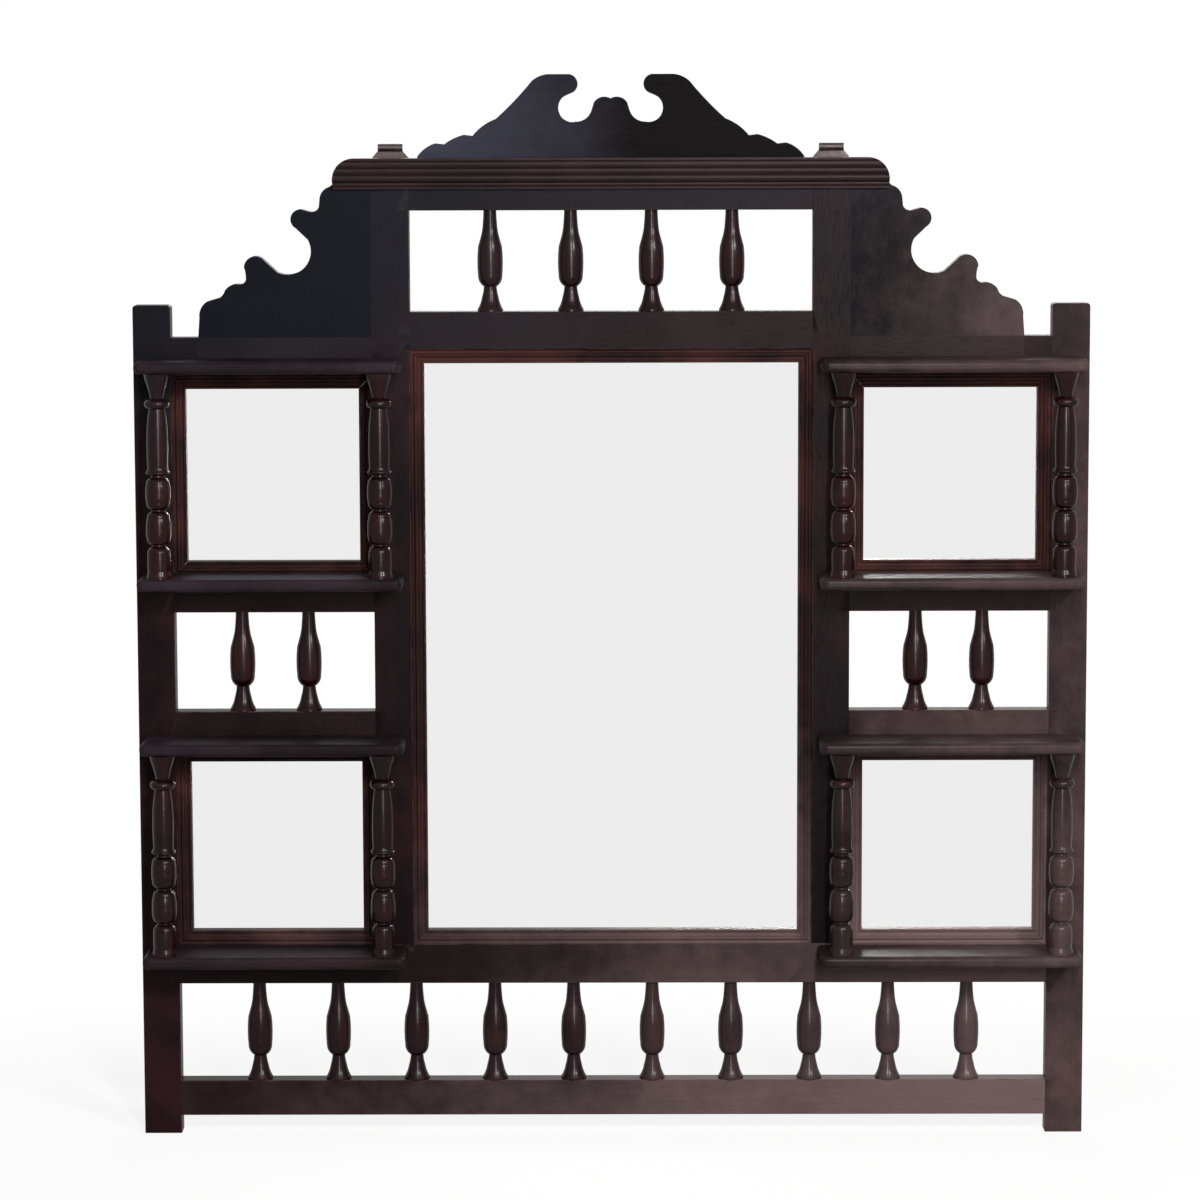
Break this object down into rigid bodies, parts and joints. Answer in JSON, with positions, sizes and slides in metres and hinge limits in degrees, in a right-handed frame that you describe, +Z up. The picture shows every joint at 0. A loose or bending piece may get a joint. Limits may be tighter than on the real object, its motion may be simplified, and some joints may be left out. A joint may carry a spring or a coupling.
{
  "type": "carved mirror",
  "caption": "Wooden overmantel mirror with a fret-cut crest and side boards, reeded cornice, spindle galleries, small shelves on turned columns and several mirror plates.",
  "frame": {"origin": "on the surface that the feet stand on, in the middle of the width and of the whole depth", "axes": "+X to the right of someone facing the mirror, +Y into the wall, +Z up"},
  "size_m": [0.9652, 0.0878, 1.0832],
  "materials": {
    "frame_wood": "satin",
    "shelf_wood": "satin",
    "turned_wood": "gloss",
    "moulding_wood": "satin",
    "mirror_glass": "polished",
    "pine": "matte",
    "strap_iron": "worn",
    "screw_steel": "worn"
  },
  "bodies": {
    "root": {"bottom_gallery_spindles": "turned_wood", "bottom_rail": "frame_wood", "centre_back_board": "pine", "centre_mirror_moulding": "moulding_wood", "centre_mirror_plate": "mirror_glass", "centre_top_rail": "frame_wood", "cornice_moulding": "frame_wood", "crest_board": "frame_wood", "fret_board_dowels": "pine", "glue_blocks": "pine", "hanger_screws": "screw_steel", "head_rail": "frame_wood", "left_gallery_spindles": "turned_wood", "left_hanger": "strap_iron", "left_inner_stile": "frame_wood", "left_lower_back_board": "pine", "left_lower_bottom_shelf": "shelf_wood", "left_lower_cross_rail": "frame_wood", "left_lower_inner_column": "turned_wood", "left_lower_mirror_moulding": "moulding_wood", "left_lower_mirror_plate": "mirror_glass", "left_lower_outer_column": "turned_wood", "left_lower_top_shelf": "shelf_wood", "left_outer_stile": "frame_wood", "left_top_rail": "frame_wood", "left_upper_back_board": "pine", "left_upper_bottom_shelf": "shelf_wood", "left_upper_cross_rail": "frame_wood", "left_upper_inner_column": "turned_wood", "left_upper_mirror_moulding": "moulding_wood", "left_upper_mirror_plate": "mirror_glass", "left_upper_outer_column": "turned_wood", "left_upper_top_shelf": "shelf_wood", "left_wing_board": "frame_wood", "lower_rail": "frame_wood", "right_gallery_spindles": "turned_wood", "right_hanger": "strap_iron", "right_inner_stile": "frame_wood", "right_lower_back_board": "pine", "right_lower_bottom_shelf": "shelf_wood", "right_lower_cross_rail": "frame_wood", "right_lower_inner_column": "turned_wood", "right_lower_mirror_moulding": "moulding_wood", "right_lower_mirror_plate": "mirror_glass", "right_lower_outer_column": "turned_wood", "right_lower_top_shelf": "shelf_wood", "right_outer_stile": "frame_wood", "right_top_rail": "frame_wood", "right_upper_back_board": "pine", "right_upper_bottom_shelf": "shelf_wood", "right_upper_cross_rail": "frame_wood", "right_upper_inner_column": "turned_wood", "right_upper_mirror_moulding": "moulding_wood", "right_upper_mirror_plate": "mirror_glass", "right_upper_outer_column": "turned_wood", "right_upper_top_shelf": "shelf_wood", "right_wing_board": "frame_wood", "shelf_screws": "screw_steel", "top_gallery_spindles": "turned_wood"}
  },
  "joints": []
}
